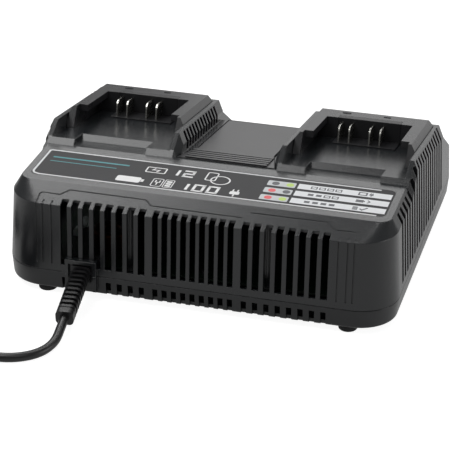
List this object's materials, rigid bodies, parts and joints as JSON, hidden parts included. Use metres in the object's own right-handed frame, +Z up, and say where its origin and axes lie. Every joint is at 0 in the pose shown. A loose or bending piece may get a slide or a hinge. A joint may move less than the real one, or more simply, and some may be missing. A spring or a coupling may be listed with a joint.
{
  "type": "power tool battery charger",
  "caption": "Low twin charger for slide-on tool batteries: sloping rail docks with blade contacts, slotted walls, label deck, cooling fan and mains lead.",
  "frame": {"origin": "centre of the charger body at the level its rubber feet stand on", "axes": "+Z up, +X to the right seen from the front, front with the cord guard faces -Y"},
  "size_m": [0.3485, 0.3225, 0.0848],
  "materials": {
    "shell_plastic": "satin",
    "base_plastic": "satin",
    "panel_plastic": "satin",
    "label_film": "satin",
    "collar_plastic": "satin",
    "block_plastic": "satin",
    "tinned_copper": "bright",
    "clear_lens": "clear",
    "foot_rubber": "matt",
    "guard_rubber": "matt",
    "cord_rubber": "satin",
    "plug_plastic": "satin",
    "plug_brass": "nickel plated",
    "board_laminate": "solder mask",
    "screw_steel": "zinc plated",
    "ferrite": "matt",
    "winding_copper": "taped",
    "capacitor_can": "sleeved",
    "sink_aluminium": "raw",
    "transistor_resin": "matt",
    "fuse_glass": "clear",
    "clamp_plastic": "matt",
    "wire_cover": "satin",
    "fan_plastic": "satin",
    "rotor_plastic": "satin",
    "socket_steel": "bright"
  },
  "bodies": {
    "charger": {"upper_housing": "shell_plastic", "lower_housing": "base_plastic", "centre_panel": "panel_plastic", "label_sheet": "label_film", "left_dock_collar": "collar_plastic", "right_dock_collar": "collar_plastic", "left_terminal_block": "block_plastic", "right_terminal_block": "block_plastic", "left_terminal_blades": "tinned_copper", "right_terminal_blades": "tinned_copper", "left_led_lenses": "clear_lens", "right_led_lenses": "clear_lens", "rubber_feet": "foot_rubber", "strain_relief": "guard_rubber", "mains_cord": "cord_rubber", "mains_cord_coil": "cord_rubber", "mains_cord_tail": "cord_rubber", "mains_plug_body": "plug_plastic", "mains_plug_pins": "plug_brass", "main_board": "board_laminate", "left_led_board": "board_laminate", "right_led_board": "board_laminate", "board_screws": "screw_steel", "housing_screws": "screw_steel", "clamp_screws": "screw_steel", "transformer_core": "ferrite", "transformer_winding": "winding_copper", "choke": "winding_copper", "bulk_capacitors": "capacitor_can", "left_heat_sink": "sink_aluminium", "right_heat_sink": "sink_aluminium", "power_transistors": "transistor_resin", "mains_fuse": "fuse_glass", "cord_clamp": "clamp_plastic", "left_dock_leads": "wire_cover", "right_dock_leads": "wire_cover", "fan_frame": "fan_plastic", "usb_socket": "socket_steel"},
    "rotor": {"fan_rotor": "rotor_plastic"}
  },
  "joints": [
    {"name": "fan_spin", "type": "hinge", "parent": "charger", "child": "rotor", "pos_m": [0.1148, 0, 0.035], "axis": [1, 0, 0], "continuous": true}
  ]
}
